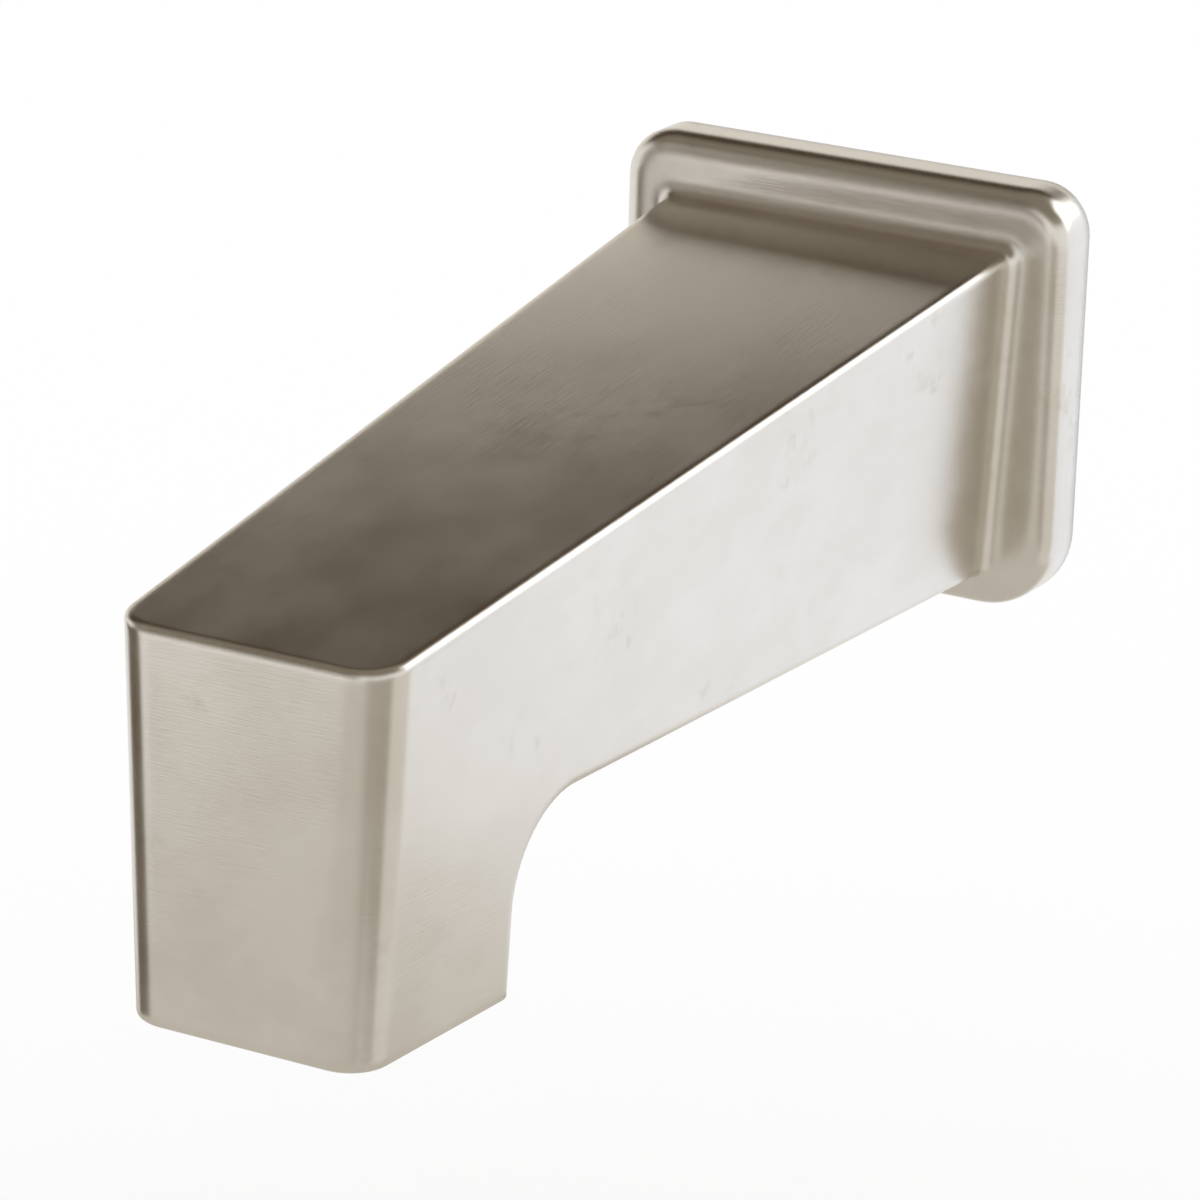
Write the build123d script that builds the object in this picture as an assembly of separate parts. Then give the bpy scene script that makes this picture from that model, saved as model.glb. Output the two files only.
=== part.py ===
from build123d import *

import os
from math import atan, cos, radians, tan

# Bath spout that is pushed over a supply tube in a wall and clamped by a set screw.
# The wall is the plane Y = 0 and the spout reaches towards -Y, with +X to the right and +Z up.
# The origin is the centre of the flange on the wall, which is also the axis of the supply tube.
# Sizes are in millimetres.

# Body of the casting
reach = 160.0  # wall to the front of the nose
nose_width = 39.8  # across the front, at its top edge
root_width = 54.6  # across the body's top, where it meets the flange
nose_top = 1.8  # height of the front's top edge
root_top = 21.8  # height of the body's top at the flange
underside = -25.2
nose_bottom = -50.5
nose_depth = 32.6  # front to back of the nose
throat_round = 13.0  # arc from the back of the nose to the underside
side_draft = 2.35  # degrees that each side leans in towards the bottom
corner_round = 5.8  # upright corners of the front
top_edge_round = 0.9
low_edge_round = 1.0

# Flange against the wall
flange_beside = 7.6  # how far it stands out from the body on each side
flange_above = 8.6
flange_below = 5.2
flange_depth = 8.0
flange_corner = 7.0  # upper corners
flange_corner_low = 11.0
flange_edge_round = 3.0
junction_round = 2.0  # hollow fillet between the body and the flange

# Hollows of the casting
wall = 3.0
flange_rim = 4.0  # width of the rim that meets the wall
flange_skin = 3.0  # thickness of the flange's face behind the rim
recess_depth = 38.0  # wall to the partition
partition = 5.0
outlet_width = 24.0
outlet_depth = 18.0
outlet_corner = 4.0
outlet_bevel = 1.0

# Socket of the adapter, for the supply tube
tube_diameter = 15.88
tube_clearance = 0.16  # on the radius
socket_mouth = 8.0  # wall to the open end of the socket
socket_wall = 3.4
socket_bevel = 0.8
tube_stop = 32.0  # wall to the shoulder that stops the tube
flow_radius = 6.5  # waterway through the adapter

# Collar and spigot of the adapter
collar_flats = 27.0
collar_depth = 5.0
collar_bevel = 0.8
spigot_radius = 10.5
spigot_beyond = 1.0  # how far the spigot passes the partition
fit_gap = 0.05  # between screwed or seated pieces

# Rubber rings
tube_seal_section = 2.0
tube_seal_bite = 0.06  # how far a ring reaches in past the tube's surface
tube_seal_depths = {"tube_seal_rear": 22.0, "tube_seal_front": 27.0}  # from the wall
adapter_seal_section = 1.7
groove_slack = 0.2  # spare width of a groove beside its ring
ring_sides = 8  # the round section of a ring is drawn as a polygon

# Set screw and its boss
screw_diameter = 6.0
screw_length = 16.0
screw_depth = 16.0  # wall to the screw's axis
screw_key_flats = 3.0
screw_key_depth = 3.5
screw_point_bevel = 1.0
screw_setback = 0.6  # how far the tip stays short of the socket's bore
screw_hole_gap = 0.3  # around the screw, in the socket's wall
boss_radius = 6.5
boss_gap = 0.5  # between the boss and the socket

cut_margin = 5.0  # how far a cutting form passes the faces that it cuts
edge_tolerance = 0.05  # to tell which edges lie in a plane

flange_width = root_width + 2 * flange_beside
flange_top = root_top + flange_above
flange_bottom = underside - flange_below
socket_radius = tube_diameter / 2 + tube_clearance
socket_outer = socket_radius + socket_wall
draft_slope = tan(radians(side_draft))
rise_slope = (root_top - nose_top) / (reach - flange_depth)
top_width_gain = (root_width - nose_width) / 2 - draft_slope * (root_top - nose_top)
taper_slope = top_width_gain / (reach - flange_depth)


def flank(side, inset):
    """The flat face of the body's left (-1) or right (1) side, or the same face drawn in by a wall.

    It comes in towards the nose by the taper and towards the foot by the draft.
    """
    outwards = (side, -taper_slope, -draft_slope)
    return Plane((side * nose_width / 2, -reach, nose_top), z_dir=outwards).offset(-inset)


def side_outline(inset, back):
    """The body from the side: rising top, upright front, drop nose, throat arc and level underside."""
    front = -reach + inset
    nose_back = -reach + nose_depth - inset
    top_drop = inset / cos(atan(rise_slope))
    points = [
        (front, nose_top + rise_slope * (front + reach) - top_drop),
        (back, nose_top + rise_slope * (back + reach) - top_drop),
        (back, underside + inset),
        (nose_back, underside + inset),
        (nose_back, nose_bottom + inset),
        (front, nose_bottom + inset),
    ]
    outline = make_face(Polyline(*points, close=True))
    throat = outline.vertices().sort_by_distance((nose_back, underside + inset))[0]
    return Plane.YZ * fillet(throat, throat_round + inset)


def body_form(inset, back):
    """The body's outer form, or the same form drawn in by a wall. It ends at the plane Y = back."""
    form = extrude(side_outline(inset, back), amount=root_width, both=True)
    for side in (-1, 1):
        form = split(form, bisect_by=flank(side, inset), keep=Keep.BOTTOM)
    front_edges = form.faces().sort_by(Axis.Y)[0].edges().sort_by(Axis.X)
    return fillet([front_edges[0], front_edges[-1]], max(corner_round - inset, corner_round / 4))


def slab(front, back):
    """Everything between two planes parallel to the wall, to cut a form to its length."""
    size = 2 * (root_width + abs(nose_bottom))
    return Pos(0, (front + back) / 2, 0) * Box(size, back - front, size)


def rounded_body():
    """The outer form with the edges of its top, nose and underside rounded. It ends inside the flange."""
    back = -flange_depth / 2
    form = body_form(0, back)
    top_face = form.faces().sort_by(Axis.Z)[-1]
    top_edges = [edge for edge in top_face.edges() if edge.center().Y < back - edge_tolerance]
    form = fillet(top_edges, top_edge_round)
    low_edges = [edge for edge in form.edges() if is_low_edge(edge, back)]
    return fillet(low_edges, low_edge_round)


def is_low_edge(edge, back):
    """True for the sharp edges of the nose's foot and back, the throat arc and the underside."""
    middle = edge.center()
    nose_back = -reach + nose_depth
    size = edge.bounding_box().size
    corner_line = middle.Y < nose_back - edge_tolerance and size.Z > edge_tolerance
    above = middle.Z > underside + edge_tolerance
    at_end = middle.Y > back - edge_tolerance
    crosses = size.X > nose_width / 2
    arc_start = crosses and abs(middle.Z - (underside - throat_round)) < edge_tolerance
    arc_end = crosses and abs(middle.Y - (nose_back + throat_round)) < edge_tolerance
    return not (corner_line or above or at_end or arc_start or arc_end)


def flange_outline(inset):
    """The flange seen from the front, or drawn in by its rim. Its lower corners are the rounder ones."""
    height = flange_top - flange_bottom - 2 * inset
    outline = Pos(0, (flange_top + flange_bottom) / 2) * Rectangle(flange_width - 2 * inset, height)
    outline = fillet(outline.vertices().group_by(Axis.Y)[-1], flange_corner - inset)
    return fillet(outline.vertices().group_by(Axis.Y)[0], flange_corner_low - inset)


def flange():
    """The plate against the wall, with rounded corners and a softened face."""
    plate = extrude(Plane.XZ * flange_outline(0), flange_depth)
    return fillet(plate.edges().group_by(Axis.Y)[0], flange_edge_round)


def outer_casting():
    """Body and flange as one, joined by a hollow fillet."""
    casting = flange() + rounded_body()
    flange_face = casting.faces().filter_by(Axis.Y).sort_by(Axis.Y)[-2]
    flat_below = flange_below - flange_edge_round - edge_tolerance
    return fillet(flange_face.inner_wires()[0].edges(), min(junction_round, flat_below))


def waterway():
    """The chamber between the partition and the nose, and the outlet in the nose's foot."""
    nose_middle = -reach + nose_depth / 2
    chamber = body_form(wall, 0) & slab(-reach, -recess_depth - partition)
    plan = Pos(0, nose_middle) * RectangleRounded(outlet_width, outlet_depth, outlet_corner)
    outlet = extrude(Plane.XY.offset(nose_bottom - cut_margin) * plan, 2 * cut_margin)
    mouth = offset(plan, outlet_bevel)
    bevel = loft([Plane.XY.offset(nose_bottom) * mouth, Plane.XY.offset(nose_bottom + outlet_bevel) * plan])
    return chamber + outlet + bevel


def wall_recess():
    """The hollow that is open to the wall: a shallow pocket behind the flange, then the body's root."""
    root = body_form(wall, cut_margin) & slab(-recess_depth, cut_margin)
    pocket_depth = flange_depth - flange_skin
    pocket = extrude(Plane.XZ.offset(-cut_margin) * flange_outline(flange_rim), cut_margin + pocket_depth)
    return root + pocket


def adapter_hole():
    """The screwed hole through the partition, with a pocket for the adapter's rubber ring."""
    hole_radius = spigot_radius + fit_gap
    pocket_radius = hole_radius + adapter_seal_section + fit_gap
    pocket_depth = adapter_seal_section + groove_slack
    hole = Cylinder(hole_radius, partition + 2 * cut_margin)
    pocket = Cylinder(pocket_radius, 2 * pocket_depth)
    middle = -recess_depth - partition / 2
    return along_tube(middle) * hole + along_tube(-recess_depth) * pocket


def along_tube(y):
    """A place on the supply tube's axis, turned so that a form's own Z runs out of the wall."""
    return Pos(0, y, 0) * Rot(90, 0, 0)


def screw_boss():
    """The post inside the underside that carries the set screw, short of the socket."""
    top = -socket_outer - boss_gap
    foot = underside + wall / 2
    return Pos(0, -screw_depth, (top + foot) / 2) * Cylinder(boss_radius, top - foot)


def screw_hole(gap):
    """A clear bore on the screw's axis, from below the underside up to the tube's axis."""
    bottom = underside - cut_margin
    return Pos(0, -screw_depth, bottom / 2) * Cylinder(screw_diameter / 2 + gap, -bottom)


def spout_body():
    casting = outer_casting() - waterway() - wall_recess()
    casting = casting + screw_boss()
    return casting - adapter_hole() - screw_hole(fit_gap)


def inlet_adapter():
    """Turned brass fitting: spigot in the partition, hexagon collar, and a socket open to the wall."""
    spigot_end = -recess_depth - partition - spigot_beyond
    points = [
        (flow_radius, spigot_end),
        (spigot_radius, spigot_end),
        (spigot_radius, -recess_depth),
        (socket_outer, -recess_depth),
        (socket_outer, -socket_mouth),
        (socket_radius + socket_bevel, -socket_mouth),
        (socket_radius, -socket_mouth - socket_bevel),
        (socket_radius, -tube_stop),
        (flow_radius, -tube_stop),
    ]
    turned = revolve(make_face(Polyline(*points, close=True)), Axis.Y)
    hexagon = RegularPolygon(collar_flats / 2, 6, major_radius=False)
    blank = extrude(Plane.XZ.offset(recess_depth) * hexagon, -collar_depth)
    blank = chamfer(blank.edges().group_by(Axis.Y)[-1], collar_bevel)
    collar = blank - along_tube(-recess_depth) * Cylinder(socket_radius + socket_wall / 2, 3 * collar_depth)
    fitting = turned + collar
    for depth in tube_seal_depths.values():
        fitting = fitting - seal_groove(depth)
    return fitting - screw_hole(screw_hole_gap)


def tube_seal_radius():
    """Radius to the middle of a tube ring's section: it reaches in past the tube's surface."""
    return tube_diameter / 2 - tube_seal_bite + tube_seal_section / 2


def seal_groove(depth):
    """A square groove around the socket that holds a tube ring."""
    outer = tube_seal_radius() + tube_seal_section / 2 + fit_gap
    return along_tube(-depth) * Cylinder(outer, tube_seal_section + groove_slack)


def ring(radius, section, depth):
    """A rubber ring around the supply tube's axis. Flats of its section face the tube and the groove."""
    half_turn = 180 / ring_sides
    outline = Rot(0, 0, half_turn) * RegularPolygon(section / 2, ring_sides, major_radius=False)
    return revolve(Pos(radius, -depth) * outline, Axis.Y)


def tube_seal(depth):
    return ring(tube_seal_radius(), tube_seal_section, depth)


def adapter_seal():
    """The ring around the spigot's root, in the partition's pocket."""
    radius = spigot_radius + fit_gap + adapter_seal_section / 2
    depth = recess_depth + groove_slack / 2 + adapter_seal_section / 2
    return ring(radius, adapter_seal_section, depth)


def set_screw():
    """A headless screw with a hexagon socket, its bevelled tip upwards and short of the socket's bore."""
    tip = -socket_radius - screw_setback
    rod = Pos(0, -screw_depth, tip - screw_length / 2) * Cylinder(screw_diameter / 2, screw_length)
    rod = chamfer(rod.edges().group_by(Axis.Z)[-1], screw_point_bevel)
    key = Plane.XY.offset(tip - screw_length) * Pos(0, -screw_depth) * RegularPolygon(
        screw_key_flats / 2, 6, major_radius=False
    )
    return rod - extrude(key, screw_key_depth)


def main():
    nodes = {
        "spout_body": spout_body(),
        "inlet_adapter": inlet_adapter(),
        "adapter_seal": adapter_seal(),
        "set_screw": set_screw(),
    }
    for name, depth in tube_seal_depths.items():
        nodes[name] = tube_seal(depth)
    os.makedirs("parts", exist_ok=True)
    for name, solid in nodes.items():
        export_step(solid, f"parts/{name}.step")


main()
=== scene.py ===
"""The look of a cast bath spout in satin nickel: finishes, threads, rubber rings and a small studio.

The casting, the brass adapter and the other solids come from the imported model. This file gives them their
finishes, puts a threaded screw and round rings in the place of the plain ones, and sets the stage.
All lengths are in metres, in the model's own frame: the wall is the plane Y = 0, the spout reaches
towards -Y, +Z is up, and the supply tube's axis is the Y axis.
"""

import math

import bpy
import numpy as np
from mathutils import Matrix, Vector


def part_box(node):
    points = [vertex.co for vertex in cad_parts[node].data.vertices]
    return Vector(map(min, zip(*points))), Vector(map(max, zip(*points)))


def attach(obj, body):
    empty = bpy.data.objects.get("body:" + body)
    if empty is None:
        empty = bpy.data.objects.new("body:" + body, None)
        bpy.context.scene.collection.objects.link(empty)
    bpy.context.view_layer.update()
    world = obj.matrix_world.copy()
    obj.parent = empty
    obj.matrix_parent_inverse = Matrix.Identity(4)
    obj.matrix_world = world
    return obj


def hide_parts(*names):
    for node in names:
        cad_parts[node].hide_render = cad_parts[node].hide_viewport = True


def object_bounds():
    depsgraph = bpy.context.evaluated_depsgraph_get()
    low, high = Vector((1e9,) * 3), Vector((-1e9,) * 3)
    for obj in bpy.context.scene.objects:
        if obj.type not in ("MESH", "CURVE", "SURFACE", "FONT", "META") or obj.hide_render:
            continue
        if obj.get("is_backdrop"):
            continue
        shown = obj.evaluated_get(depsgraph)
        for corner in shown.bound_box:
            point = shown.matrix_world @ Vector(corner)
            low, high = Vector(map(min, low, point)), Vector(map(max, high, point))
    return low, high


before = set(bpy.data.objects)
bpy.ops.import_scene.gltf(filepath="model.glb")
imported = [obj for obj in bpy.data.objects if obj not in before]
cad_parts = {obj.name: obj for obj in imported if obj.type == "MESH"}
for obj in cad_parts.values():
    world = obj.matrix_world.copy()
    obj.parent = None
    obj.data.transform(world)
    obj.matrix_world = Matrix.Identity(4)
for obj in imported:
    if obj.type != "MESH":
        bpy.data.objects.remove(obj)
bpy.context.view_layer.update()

bl_info = {
    "name": "Bath Spout Finishes",
    "version": (1, 0, 0),
    "blender": (4, 5, 0),
    "location": "3D View > Sidebar > Bath Spout",
    "description": "Finishes, threads and studio for a cast bath spout",
    "category": "Object",
}

MM = 0.001

# The casting's own sizes, for the finish of its hollows
NOSE_HALF_WIDTH = 19.9 * MM
NOSE_TOP = 1.8 * MM  # height of the front's top edge
NOSE_DEPTH = 32.6 * MM
UNDERSIDE = -25.2 * MM
SIDE_TAPER = 0.043  # how much wider each side gets for each length towards the wall
SIDE_DRAFT = 0.041  # how much narrower each side gets for each depth towards the foot
TOP_RISE = 0.132  # how much the top rises for each length towards the wall
WALL = 3 * MM
FLANGE_RIM = 4 * MM
FLANGE_POCKET = 5 * MM
FLANGE_CORNER_CUT = 9.3 * MM  # distances from a corner's two sides, added up, in the middle of the rim

# The set screw
THREAD_PITCH = 1 * MM
THREAD_DEPTH = 0.61 * THREAD_PITCH  # of a metric thread
KEY_FLATS = 3 * MM
KEY_DEPTH = 3.5 * MM
POINT_BEVEL = 1 * MM

# Noise cells of the finishes, across X, Y and Z
CLOUDS = (14 * MM, 22 * MM, 12 * MM)  # uneven colour of the plate
WAVES = (30 * MM, 45 * MM, 30 * MM)  # uneven polish, which bends a reflection
SMUDGE_AREAS = (25 * MM, 25 * MM, 25 * MM)
SMUDGE_SPOTS = (4 * MM, 4 * MM, 4 * MM)
CAST_SKIN = (0.5 * MM, 0.5 * MM, 0.5 * MM)
LATHE_LINES = (0.12 * MM, 0.12 * MM, 1000 * MM)  # by the distance from the axis and the place along it
BRASS_PATCHES = (5 * MM, 5 * MM, 5 * MM)
RUBBER_BLOOM = (1.5 * MM, 1.5 * MM, 1.5 * MM)
BAR_GRAIN = (0.1 * MM, 0.1 * MM, 1.5 * MM)

# Heights of the finishes
WAVE_HEIGHT = 0.08 * MM
CAST_SKIN_HEIGHT = 0.05 * MM
LATHE_LINE_HEIGHT = 0.006 * MM
BAR_GRAIN_HEIGHT = 0.004 * MM

AS_CAST_ROUGHNESS = 0.55
FLANGE_POLISH = 1.7  # how much wider the polish of the edges is on the flange
FLANGE_REACH = (-12 * MM, -9 * MM)  # where that polish starts and where it is full


def linear(hex_colour):
    """An sRGB hex colour as linear red, green and blue, and an alpha of one."""
    value = hex_colour.lstrip("#")
    channels = [int(value[i:i + 2], 16) / 255 for i in (0, 2, 4)]
    return tuple(c / 12.92 if c <= 0.04045 else ((c + 0.055) / 1.055) ** 2.4 for c in channels) + (1.0,)


# Materials


def add_node(material, kind, inputs=None, links=None, **settings):
    """Adds a node with its settings, input values, and links to its inputs from other nodes' outputs."""
    node = material.node_tree.nodes.new(kind)
    for name, value in settings.items():
        setattr(node, name, value)
    for socket, value in (inputs or {}).items():
        node.inputs[socket].default_value = value
    for socket, source in (links or {}).items():
        material.node_tree.links.new(source, node.inputs[socket])
    return node


def new_material(name):
    """An empty node material and its output node."""
    material = bpy.data.materials.new(name)
    material.use_nodes = True
    material.node_tree.nodes.clear()
    return material, add_node(material, "ShaderNodeOutputMaterial")


def stretched_noise(material, place, pitch, detail=3.0):
    """Noise whose cells measure pitch = (x, y, z) in metres, read at the place given."""
    mapping = add_node(
        material, "ShaderNodeMapping",
        inputs={"Scale": tuple(1 / length for length in pitch)}, links={"Vector": place},
    )
    noise = add_node(
        material, "ShaderNodeTexNoise",
        inputs={"Scale": 1.0, "Detail": detail, "Roughness": 0.6},
        links={"Vector": mapping.outputs["Vector"]},
    )
    return noise.outputs["Fac"]


def remap(material, value, low, high, to_low, to_high):
    """A value brought smoothly from one range to another."""
    node = add_node(
        material, "ShaderNodeMapRange", interpolation_type="SMOOTHSTEP",
        inputs={"From Min": low, "From Max": high, "To Min": to_low, "To Max": to_high},
        links={"Value": value},
    )
    return node.outputs["Result"]


def compute(material, operation, first, second=0.0):
    """The result of a math node. Each of its two inputs is a number or another node's output."""
    node = add_node(material, "ShaderNodeMath", operation=operation)
    for socket, value in zip(node.inputs, (first, second)):
        if isinstance(value, bpy.types.NodeSocket):
            material.node_tree.links.new(value, socket)
        else:
            socket.default_value = value
    return node.outputs["Value"]


def height_over(material, place, point, outwards):
    """How far the place lies in front of the plane that passes through a point and looks outwards."""
    offset = add_node(
        material, "ShaderNodeVectorMath", operation="SUBTRACT", inputs={1: point}, links={0: place}
    )
    node = add_node(
        material, "ShaderNodeVectorMath", operation="DOT_PRODUCT", inputs={1: outwards},
        links={0: offset.outputs["Vector"]},
    )
    return node.outputs["Value"]


def hollow_mask(material, place):
    """One in the hollows of the casting and zero on its outside.

    The place is mirrored to the right half. It is in a hollow where it lies deeper than half the wall under
    the flank and the rising top, deeper than most of the wall behind the front, so that the rounded upright
    corners don't count, and either above the middle of the underside's wall or in front of the middle of
    the nose's back wall. Behind the flange it is in the pocket where it lies deep enough under the rim and
    its corners.
    """
    low, high = (Vector(corner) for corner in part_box("spout_body"))
    axes = add_node(material, "ShaderNodeSeparateXYZ", links={"Vector": place}).outputs
    mirrored = add_node(
        material, "ShaderNodeCombineXYZ",
        links={"X": compute(material, "ABSOLUTE", axes["X"]), "Y": axes["Y"], "Z": axes["Z"]},
    ).outputs["Vector"]
    nose_corner = (NOSE_HALF_WIDTH, low.y, NOSE_TOP)
    half_wall = WALL / 2
    body = compute(material, "GREATER_THAN", axes["Z"], low.z + WALL / 10)
    limits = (
        ((1, -SIDE_TAPER, -SIDE_DRAFT), -half_wall),
        ((0, -TOP_RISE, 1), -half_wall),
        ((0, -1, 0), -0.8 * WALL),
    )
    for outwards, most in limits:
        deep = compute(material, "LESS_THAN", height_over(material, mirrored, nose_corner, outwards), most)
        body = compute(material, "MULTIPLY", body, deep)
    above = compute(material, "GREATER_THAN", axes["Z"], UNDERSIDE + half_wall)
    ahead = compute(material, "LESS_THAN", axes["Y"], low.y + NOSE_DEPTH - half_wall)
    body = compute(material, "MULTIPLY", body, compute(material, "MAXIMUM", above, ahead))
    half_rim = FLANGE_RIM / 2
    corner = (high.x, 0, high.z)
    pocket = compute(material, "GREATER_THAN", axes["Y"], -FLANGE_POCKET - half_wall)
    pocket = compute(material, "MULTIPLY", pocket, compute(material, "LESS_THAN", axes["Y"], -WALL / 100))
    upright = compute(material, "ABSOLUTE", axes["Z"])
    folded = add_node(
        material, "ShaderNodeCombineXYZ",
        links={"X": compute(material, "ABSOLUTE", axes["X"]), "Y": axes["Y"], "Z": upright},
    ).outputs["Vector"]
    for outwards, most in (((1, 0, 0), -half_rim), ((0, 0, 1), -half_rim), ((1, 0, 1), -FLANGE_CORNER_CUT)):
        deep = compute(material, "LESS_THAN", height_over(material, folded, corner, outwards), most)
        pocket = compute(material, "MULTIPLY", pocket, deep)
    return compute(material, "MAXIMUM", body, pocket)


def mix_colour(material, factor, first, second):
    """A colour between two others. Each is a tuple or another node's output."""
    node = add_node(material, "ShaderNodeMix", data_type="RGBA", links={"Factor": factor})
    for socket, colour in ((node.inputs[6], first), (node.inputs[7], second)):
        if isinstance(colour, bpy.types.NodeSocket):
            material.node_tree.links.new(colour, socket)
        else:
            socket.default_value = colour
    return node.outputs[2]


def satin_nickel():
    """Satin nickel plate on a casting that was brushed around its sides and along its top.

    Nickel is a warm, slightly yellow grey. The brushing gives fine lines that spread a reflection across
    them, so flat faces look even and rounds show soft bands. Polishing before the plating has washed the
    edges out, which the light shows as wide, soft lines along them, widest at the flange. The hollows keep
    the dull, grainy skin of the mould, darkened where the plating is thin.
    """
    settings = bpy.context.scene.spout_finish
    material, output = new_material("satin_nickel")
    coords = add_node(material, "ShaderNodeTexCoord")
    place = coords.outputs["Object"]
    normal = add_node(material, "ShaderNodeSeparateXYZ", links={"Vector": coords.outputs["Normal"]})
    on_top = remap(material, compute(material, "ABSOLUTE", normal.outputs["Z"]), 0.55, 0.85, 0.0, 1.0)
    pitch = settings.brush_pitch
    length = settings.brush_length
    around = stretched_noise(material, place, (length, length, pitch))
    along = stretched_noise(material, place, (pitch, length, length))
    lines = add_node(
        material, "ShaderNodeMix", data_type="FLOAT", links={"Factor": on_top, 2: around, 3: along}
    ).outputs[0]
    clouds = stretched_noise(material, place, CLOUDS, detail=4.0)
    waves = stretched_noise(material, place, WAVES, detail=1.0)
    hollow = hollow_mask(material, place)
    skin = stretched_noise(material, place, CAST_SKIN)
    cloudy = remap(material, clouds, 0.3, 0.7, 0.0, 1.0)
    smudges = compute(
        material, "MULTIPLY",
        remap(material, stretched_noise(material, place, SMUDGE_SPOTS), 0.5, 0.8, 0.0, 1.0),
        remap(material, stretched_noise(material, place, SMUDGE_AREAS), 0.5, 0.7, 0.0, 1.0),
    )
    clean = mix_colour(material, cloudy, linear("#D9D3CA"), linear("#DFDAD2"))
    plated = mix_colour(material, smudges, clean, linear("#CDC5BA"))
    as_cast = mix_colour(material, cloudy, linear("#8E8272"), linear("#A99C88"))
    smoothest, roughest = settings.roughness - 0.02, settings.roughness + 0.03
    plated_roughness = remap(material, clouds, 0.25, 0.75, smoothest, roughest)
    cast_roughness = compute(material, "MULTIPLY", hollow, AS_CAST_ROUGHNESS)
    roughness = compute(material, "MAXIMUM", plated_roughness, cast_roughness)
    position = add_node(material, "ShaderNodeSeparateXYZ", links={"Vector": place})
    narrow = settings.edge_polish
    edge_width = remap(material, position.outputs["Y"], *FLANGE_REACH, narrow, FLANGE_POLISH * narrow)
    polished_edges = add_node(material, "ShaderNodeBevel", samples=8, links={"Radius": edge_width})
    wave_bump = add_node(
        material, "ShaderNodeBump", inputs={"Strength": 1.0, "Distance": WAVE_HEIGHT},
        links={"Height": waves, "Normal": polished_edges.outputs["Normal"]},
    )
    line_bump = add_node(
        material, "ShaderNodeBump", inputs={"Strength": 1.0, "Distance": settings.brush_depth},
        links={"Height": lines, "Normal": wave_bump.outputs["Normal"]},
    )
    skin_bump = add_node(
        material, "ShaderNodeBump", inputs={"Distance": CAST_SKIN_HEIGHT},
        links={"Strength": hollow, "Height": skin, "Normal": line_bump.outputs["Normal"]},
    )
    shader = add_node(
        material, "ShaderNodeBsdfPrincipled", inputs={"Metallic": 1.0},
        links={
            "Base Color": mix_colour(material, hollow, plated, as_cast),
            "Roughness": roughness,
            "Normal": skin_bump.outputs["Normal"],
        },
    )
    material.node_tree.links.new(shader.outputs["BSDF"], output.inputs["Surface"])
    return material


def turned_brass():
    """Bare brass turned on a lathe: yellow metal with fine rings around the supply tube's axis."""
    material, output = new_material("turned_brass")
    coords = add_node(material, "ShaderNodeTexCoord")
    axes = add_node(material, "ShaderNodeSeparateXYZ", links={"Vector": coords.outputs["Object"]})
    flat = add_node(
        material, "ShaderNodeCombineXYZ", links={"X": axes.outputs["X"], "Y": axes.outputs["Z"]}
    )
    radius = add_node(
        material, "ShaderNodeVectorMath", operation="LENGTH", links={"Vector": flat.outputs["Vector"]}
    )
    section = add_node(
        material, "ShaderNodeCombineXYZ", links={"X": radius.outputs["Value"], "Y": axes.outputs["Y"]}
    )
    rings = stretched_noise(material, section.outputs["Vector"], LATHE_LINES, detail=2.0)
    patches = stretched_noise(material, coords.outputs["Object"], BRASS_PATCHES)
    patchy = remap(material, patches, 0.35, 0.7, 0.0, 1.0)
    colour = mix_colour(material, patchy, linear("#D9B871"), linear("#C49C58"))
    bump = add_node(
        material, "ShaderNodeBump", inputs={"Strength": 1.0, "Distance": LATHE_LINE_HEIGHT},
        links={"Height": rings},
    )
    shader = add_node(
        material, "ShaderNodeBsdfPrincipled", inputs={"Metallic": 1.0},
        links={
            "Base Color": colour,
            "Roughness": remap(material, patches, 0.3, 0.7, 0.26, 0.36),
            "Normal": bump.outputs["Normal"],
        },
    )
    material.node_tree.links.new(shader.outputs["BSDF"], output.inputs["Surface"])
    return material


def nitrile_rubber():
    """Moulded black nitrile rubber: almost black, matt, with a faint bloom."""
    material, output = new_material("nitrile_rubber")
    coords = add_node(material, "ShaderNodeTexCoord")
    bloom = stretched_noise(material, coords.outputs["Object"], RUBBER_BLOOM)
    bloomed = remap(material, bloom, 0.35, 0.75, 0.0, 1.0)
    colour = mix_colour(material, bloomed, linear("#1B1B1A"), linear("#2B2A28"))
    shader = add_node(
        material, "ShaderNodeBsdfPrincipled", inputs={"Metallic": 0.0, "IOR": 1.52},
        links={"Base Color": colour, "Roughness": remap(material, bloom, 0.3, 0.7, 0.5, 0.65)},
    )
    material.node_tree.links.new(shader.outputs["BSDF"], output.inputs["Surface"])
    return material


def stainless_steel():
    """Plain stainless steel: a cold grey with a fine grain from the bar that it was cut from."""
    material, output = new_material("stainless_steel")
    coords = add_node(material, "ShaderNodeTexCoord")
    grain = stretched_noise(material, coords.outputs["Object"], BAR_GRAIN)
    bump = add_node(
        material, "ShaderNodeBump", inputs={"Strength": 1.0, "Distance": BAR_GRAIN_HEIGHT},
        links={"Height": grain},
    )
    shader = add_node(
        material, "ShaderNodeBsdfPrincipled", inputs={"Base Color": linear("#C6C7C8"), "Metallic": 1.0},
        links={"Roughness": remap(material, grain, 0.3, 0.7, 0.24, 0.34), "Normal": bump.outputs["Normal"]},
    )
    material.node_tree.links.new(shader.outputs["BSDF"], output.inputs["Surface"])
    return material


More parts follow.
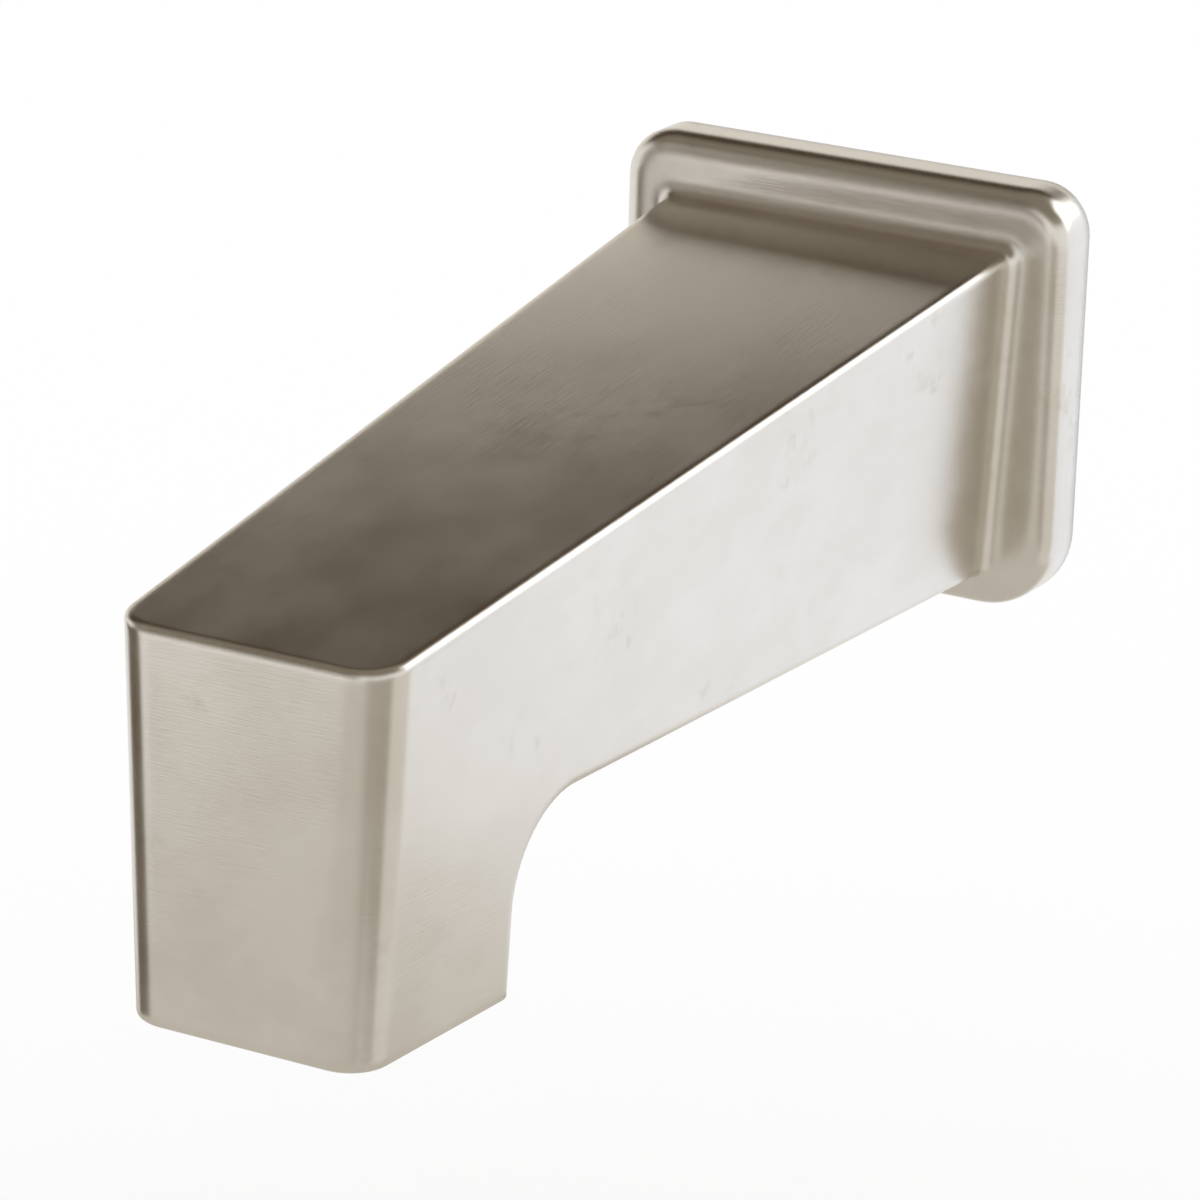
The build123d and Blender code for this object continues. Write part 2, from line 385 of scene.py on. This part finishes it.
def white_floor():
    """A matt white studio floor that can be seen through from below."""
    material, output = new_material("white_floor")
    colour = linear(bpy.context.scene.spout_stage.floor_colour)
    white = add_node(material, "ShaderNodeBsdfDiffuse", inputs={"Color": colour})
    clear = add_node(material, "ShaderNodeBsdfTransparent")
    side = add_node(material, "ShaderNodeNewGeometry")
    shader = add_node(
        material, "ShaderNodeMixShader",
        links={"Fac": side.outputs["Backfacing"], 1: white.outputs["BSDF"], 2: clear.outputs["BSDF"]},
    )
    material.node_tree.links.new(shader.outputs["Shader"], output.inputs["Surface"])
    return material


def card_tone(name, hex_colour, level):
    """A studio card of one even tone, whatever light falls on it."""
    material, output = new_material(name)
    inputs = {"Color": linear(hex_colour), "Strength": level}
    shader = add_node(material, "ShaderNodeEmission", inputs=inputs)
    material.node_tree.links.new(shader.outputs["Emission"], output.inputs["Surface"])
    return material


# Meshes


def grid_faces(rows, columns, close_rows=False, close_columns=False):
    """The quads of a grid of points, numbered row by row. A closed direction joins its end to its start."""
    i = np.arange(rows if close_rows else rows - 1)
    j = np.arange(columns if close_columns else columns - 1)
    i, j = np.meshgrid(i, j, indexing="ij")
    next_i = (i + 1) % rows
    next_j = (j + 1) % columns
    corners = (i * columns + j, i * columns + next_j, next_i * columns + next_j, next_i * columns + j)
    return np.stack([corner.ravel() for corner in corners], axis=1)


def mesh_object(name, points, faces, material, smooth=True):
    """A mesh object at the origin, with its place in its mesh."""
    mesh = bpy.data.meshes.new(name)
    mesh.from_pydata(points.reshape(-1, 3).tolist(), [], [list(face) for face in faces])
    mesh.polygons.foreach_set("use_smooth", np.full(len(mesh.polygons), smooth))
    mesh.materials.append(material)
    mesh.update()
    piece = bpy.data.objects.new(name, mesh)
    bpy.context.scene.collection.objects.link(piece)
    return piece


def give_finish(node, material):
    """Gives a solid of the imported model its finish."""
    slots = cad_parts[node].data.materials
    slots.clear()
    slots.append(material)


def rubber_ring(name, node, material):
    """A round ring in the place of a ring with a flat-sided section.

    With u round the tube's axis and v round the section, the distance from the axis is the middle radius
    plus half the section times cos v, and the place along the axis is the middle plus half the section
    times sin v.
    """
    low, high = (Vector(corner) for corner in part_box(node))
    half_section = (high.y - low.y) / 2
    middle_radius = (high.x - low.x) / 2 - half_section
    rows, columns = 96, 20
    u, v = np.meshgrid(
        np.linspace(0, 2 * np.pi, rows, endpoint=False),
        np.linspace(0, 2 * np.pi, columns, endpoint=False),
        indexing="ij",
    )
    radius = middle_radius + half_section * np.cos(v)
    along = (low.y + high.y) / 2 + half_section * np.sin(v)
    points = np.stack([radius * np.cos(u), along, radius * np.sin(u)], -1)
    faces = grid_faces(rows, columns, close_rows=True, close_columns=True)
    piece = mesh_object(name, points, faces, material)
    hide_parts(node)
    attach(piece, "root")


def threaded_screw(name, node, material):
    """A headless screw with a thread, a bevelled tip and a hexagon socket, in the place of a plain rod.

    Its rows run from the middle of the tip over the bevel, down the thread, in over the lower end and up
    into the socket. On the thread the radius at angle u and height z falls from the crest by the thread's
    depth times a triangle wave of z / pitch + u / (2 pi), which fades out over the last pitch. In the socket
    the radius is half the flats divided by the cosine of the angle from the nearest flat's middle.
    """
    low, high = (Vector(corner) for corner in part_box(node))
    crest = (high.x - low.x) / 2
    columns = 96
    u = np.linspace(0, 2 * np.pi, columns, endpoint=False)
    hexagon = KEY_FLATS / 2 / np.cos((u + np.pi / 6) % (np.pi / 3) - np.pi / 6)
    round_one = np.ones(columns)
    shank = np.arange(high.z - POINT_BEVEL, low.z, -THREAD_PITCH / 8)
    turns = shank[:, None] / THREAD_PITCH + u / (2 * np.pi)
    wave = np.abs(2 * (turns % 1) - 1)
    fade = np.clip((shank - low.z) / THREAD_PITCH, 0, 1)[:, None]
    thread = crest - THREAD_DEPTH * wave * fade
    rows = [(high.z, 0.02 * crest * round_one), (high.z, (crest - POINT_BEVEL) * round_one)]
    rows += list(zip(shank, thread))
    # Lower end with a lead-in to the socket, then the socket and its drilled bottom
    rows += [(low.z, 0.94 * crest * round_one), (low.z, 1.03 * hexagon), (low.z + 0.03 * crest, hexagon)]
    rows += [(low.z + KEY_DEPTH, hexagon), (low.z + KEY_DEPTH * 1.12, 0.02 * crest * round_one)]
    height = np.array([row[0] for row in rows])[:, None] * round_one
    radius = np.array([row[1] for row in rows])
    axis_y = (low.y + high.y) / 2
    points = np.stack([radius * np.cos(u), axis_y - radius * np.sin(u), height], -1)
    faces = grid_faces(len(rows), columns, close_columns=True).tolist()
    last = (len(rows) - 1) * columns
    faces += [list(range(columns))[::-1], list(range(last, last + columns))]
    piece = mesh_object(name, points, faces, material, smooth=False)
    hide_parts(node)
    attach(piece, "root")


# Stage


def flat_card(name, centre, facing, width, height, material):
    """A flat card that faces the given direction.

    Its points are the centre plus u times the width along the horizontal and v times the height across it,
    with u and v from -1/2 to 1/2.
    """
    facing = Vector(facing).normalized()
    across = Vector((-facing.y, facing.x, 0)) if abs(facing.z) < 0.99 else Vector((1, 0, 0))
    across.normalize()
    upright = facing.cross(across)
    v, u = np.meshgrid([-0.5, 0.5], [-0.5, 0.5], indexing="ij")
    sideways = u[..., None] * width * np.array(across)
    points = np.array(centre) + sideways + v[..., None] * height * np.array(upright)
    card = mesh_object(name, points, grid_faces(2, 2), material, smooth=False)
    card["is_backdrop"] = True
    return card


def camera_axes(azimuth, elevation, roll):
    """The camera's right, up and back directions. Azimuth 0 looks along +Y; roll turns the picture."""
    back = Vector((
        math.sin(azimuth) * math.cos(elevation),
        -math.cos(azimuth) * math.cos(elevation),
        math.sin(elevation),
    ))
    level = Vector((math.cos(azimuth), math.sin(azimuth), 0))
    upright = back.cross(level)
    right = math.cos(roll) * level + math.sin(roll) * upright
    up = math.cos(roll) * upright - math.sin(roll) * level
    return right, up, back


class SpoutFinish(bpy.types.PropertyGroup):
    """The satin nickel plate"""

    # The real lines are about 0.05 mm apart, too fine for the picture, so they are drawn coarser
    brush_pitch: bpy.props.FloatProperty(
        name="Brush Pitch", description="Distance between brushing lines",
        default=0.22 * MM, min=0.02 * MM, unit="LENGTH", precision=5,
    )
    brush_length: bpy.props.FloatProperty(
        name="Brush Length", description="How far one brushing line runs",
        default=5 * MM, min=0.5 * MM, unit="LENGTH", precision=4,
    )
    brush_depth: bpy.props.FloatProperty(
        name="Brush Depth", description="Depth of the brushing lines",
        default=0.011 * MM, min=0.0, unit="LENGTH", precision=6,
    )
    edge_polish: bpy.props.FloatProperty(
        name="Edge Polish", description="How far the polishing has softened the casting beside each edge",
        default=1.6 * MM, min=0.0, unit="LENGTH", precision=4,
    )
    roughness: bpy.props.FloatProperty(
        name="Roughness", description="Roughness of the satin nickel between its lines",
        default=0.24, min=0.05, max=1.0,
    )


class SpoutStage(bpy.types.PropertyGroup):
    """Floor and camera"""

    floor_colour: bpy.props.StringProperty(
        name="Floor Colour", description="sRGB hex colour of the studio floor", default="#FFFFFF",
    )
    floor_drop: bpy.props.FloatProperty(
        name="Floor Drop", description="How far the floor lies below the foot of the nose",
        default=0.1, min=0.0, unit="LENGTH",
    )
    view_azimuth: bpy.props.FloatProperty(
        name="Azimuth", description="Turn of the camera round the spout, from straight ahead of the nose",
        default=math.radians(29.25), subtype="ANGLE",
    )
    view_elevation: bpy.props.FloatProperty(
        name="Elevation", description="Height of the camera above the horizon",
        default=math.radians(18.54), subtype="ANGLE",
    )
    view_roll: bpy.props.FloatProperty(
        name="Roll", description="Turn of the picture", default=math.radians(1.776), subtype="ANGLE",
    )
    view_distance: bpy.props.FloatProperty(
        name="Distance", description="From the camera to its target", default=0.7931, unit="LENGTH",
    )
    view_target: bpy.props.FloatVectorProperty(
        name="Target", description="The point that the camera looks at",
        default=(0.00392, -0.08, -0.01338), subtype="XYZ_LENGTH",
    )
    focal_length: bpy.props.FloatProperty(
        name="Focal Length", description="Lens of the camera on a sensor 36 mm wide",
        default=180.78, subtype="DISTANCE_CAMERA",
    )


class SPOUT_OT_casting(bpy.types.Operator):
    """Gives the casting its satin nickel finish"""

    bl_idname = "spout.casting"
    bl_label = "Finish Casting"

    def execute(self, context):
        give_finish("spout_body", satin_nickel())
        return {"FINISHED"}


class SPOUT_OT_fittings(bpy.types.Operator):
    """Gives the inner fittings their finishes, and the screw and the rings their full forms"""

    bl_idname = "spout.fittings"
    bl_label = "Finish Fittings"

    def execute(self, context):
        give_finish("inlet_adapter", turned_brass())
        threaded_screw("threaded_set_screw", "set_screw", stainless_steel())
        rubber = nitrile_rubber()
        for node in ("adapter_seal", "tube_seal_front", "tube_seal_rear"):
            rubber_ring("round_" + node, node, rubber)
        return {"FINISHED"}


class SPOUT_OT_stage(bpy.types.Operator):
    """Sets the floor, the cards, the light and the camera"""

    bl_idname = "spout.stage"
    bl_label = "Set Stage"

    def execute(self, context):
        stage = context.scene.spout_stage
        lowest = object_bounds()[0].z
        floor_height = lowest - stage.floor_drop
        flat_card("floor", (0, 0, floor_height), (0, 0, 1), 12, 12, white_floor())
        self.set_cards(stage.floor_drop)
        self.set_light(context)
        self.set_camera(context, stage)
        context.scene.view_settings.view_transform = "Standard"
        return {"FINISHED"}

    def set_cards(self, floor_drop):
        """Cards that stand out of the picture. Their tones show only in the metal."""
        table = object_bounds()[0].z - 0.99 * floor_drop
        # name, centre, facing, width, height, tone, level
        cards = (
            ("table", (-0.03, -0.405, table), (0, 0, 1), 0.42, 0.99, "#D3CFC7", 1.0),
            ("table_right", (0.34, -0.61, table), (0, 0, 1), 0.32, 0.58, "#B5B1A8", 1.0),
            ("ceiling", (0, 0, 0.75), (0, 0, -1), 3.0, 3.0, "#8A8174", 1.0),
            ("back_high", (-0.186, 0.101, 0.266), (0.474, -0.73, -0.495), 0.7, 0.227, "#45392B", 1.0),
            ("back_low", (-0.229, 0.176, 0.108), (0.474, -0.73, -0.495), 0.7, 0.14, "#F1ECE2", 1.02),
            ("front_high", (-0.23, -0.37, 0.29), (0.442, 0.761, -0.474), 0.4, 0.26, "#6F6658", 1.0),
            ("front_window", (-0.222, -0.288, 0.235), (0.442, 0.761, -0.474), 0.055, 0.08, "#F4F1EC", 1.1),
            ("front_mid", (-0.25, -0.5, 0.08), (0.48, 0.87, -0.1), 0.7, 0.18, "#958D81", 1.0),
            ("front_strip", (-0.25, -0.53, -0.035), (0.48, 0.87, 0.1), 0.6, 0.035, "#FFFFFF", 1.5),
            ("right", (0.2, -0.39, -0.085), (-1, 0, 0), 0.45, 0.128, "#B3ADA2", 1.0),
            ("right_back", (0.2, -0.06, -0.085), (-1, 0, 0), 0.21, 0.128, "#E4E1DA", 1.0),
            ("left", (-0.2, -0.21, -0.075), (1, 0, 0), 0.17, 0.148, "#6F6658", 1.0),
            ("bounce", (0.172, 0.17, -0.05), (-0.5, -0.783, 0.369), 0.5, 0.32, "#F4F8FF", 1.18),
            ("softbox", (0.29, 0.286, 0.28), (-0.75, -0.45, -0.5), 0.5, 0.42, "#FFFFFF", 2.2),
        )
        for name, centre, facing, width, height, tone, level in cards:
            material = card_tone("card_" + name, tone, level)
            card = flat_card("card_" + name, centre, facing, width, height, material)
            card.visible_camera = False
            card.visible_diffuse = False
            card.visible_shadow = False

    def set_light(self, context):
        """An even white surround."""
        world = bpy.data.worlds.new("surround")
        world.use_nodes = True
        world.node_tree.nodes["Background"].inputs["Color"].default_value = linear("#FFFFFF")
        world.node_tree.nodes["Background"].inputs["Strength"].default_value = 1.0
        context.scene.world = world

    def set_camera(self, context, stage):
        right, up, back = camera_axes(stage.view_azimuth, stage.view_elevation, stage.view_roll)
        lens = bpy.data.cameras.new("camera")
        lens.sensor_width = 36
        lens.lens = stage.focal_length
        lens.clip_start = 0.01
        camera = bpy.data.objects.new("camera", lens)
        place = Vector(stage.view_target) + stage.view_distance * back
        turn = Matrix((right, up, back)).transposed()
        camera.matrix_world = Matrix.LocRotScale(place, turn, None)
        context.scene.collection.objects.link(camera)
        context.scene.camera = camera


class SPOUT_PT_panel(bpy.types.Panel):
    """Lists the finishes and the stage"""

    bl_label = "Bath Spout"
    bl_space_type = "VIEW_3D"
    bl_region_type = "UI"
    bl_category = "Bath Spout"

    def draw(self, context):
        layout = self.layout
        for operator in OPERATORS:
            layout.operator(operator.bl_idname)
        for settings in (context.scene.spout_finish, context.scene.spout_stage):
            for name in settings.__annotations__:
                layout.prop(settings, name)


OPERATORS = (SPOUT_OT_casting, SPOUT_OT_fittings, SPOUT_OT_stage)
CLASSES = (SpoutFinish, SpoutStage) + OPERATORS + (SPOUT_PT_panel,)


def register():
    for cls in CLASSES:
        bpy.utils.register_class(cls)
    bpy.types.Scene.spout_finish = bpy.props.PointerProperty(type=SpoutFinish)
    bpy.types.Scene.spout_stage = bpy.props.PointerProperty(type=SpoutStage)


def unregister():
    del bpy.types.Scene.spout_finish
    del bpy.types.Scene.spout_stage
    for cls in reversed(CLASSES):
        bpy.utils.unregister_class(cls)


def main():
    register()
    bpy.ops.spout.casting()
    bpy.ops.spout.fittings()
    bpy.ops.spout.stage()


if __name__ == "__main__":
    main()
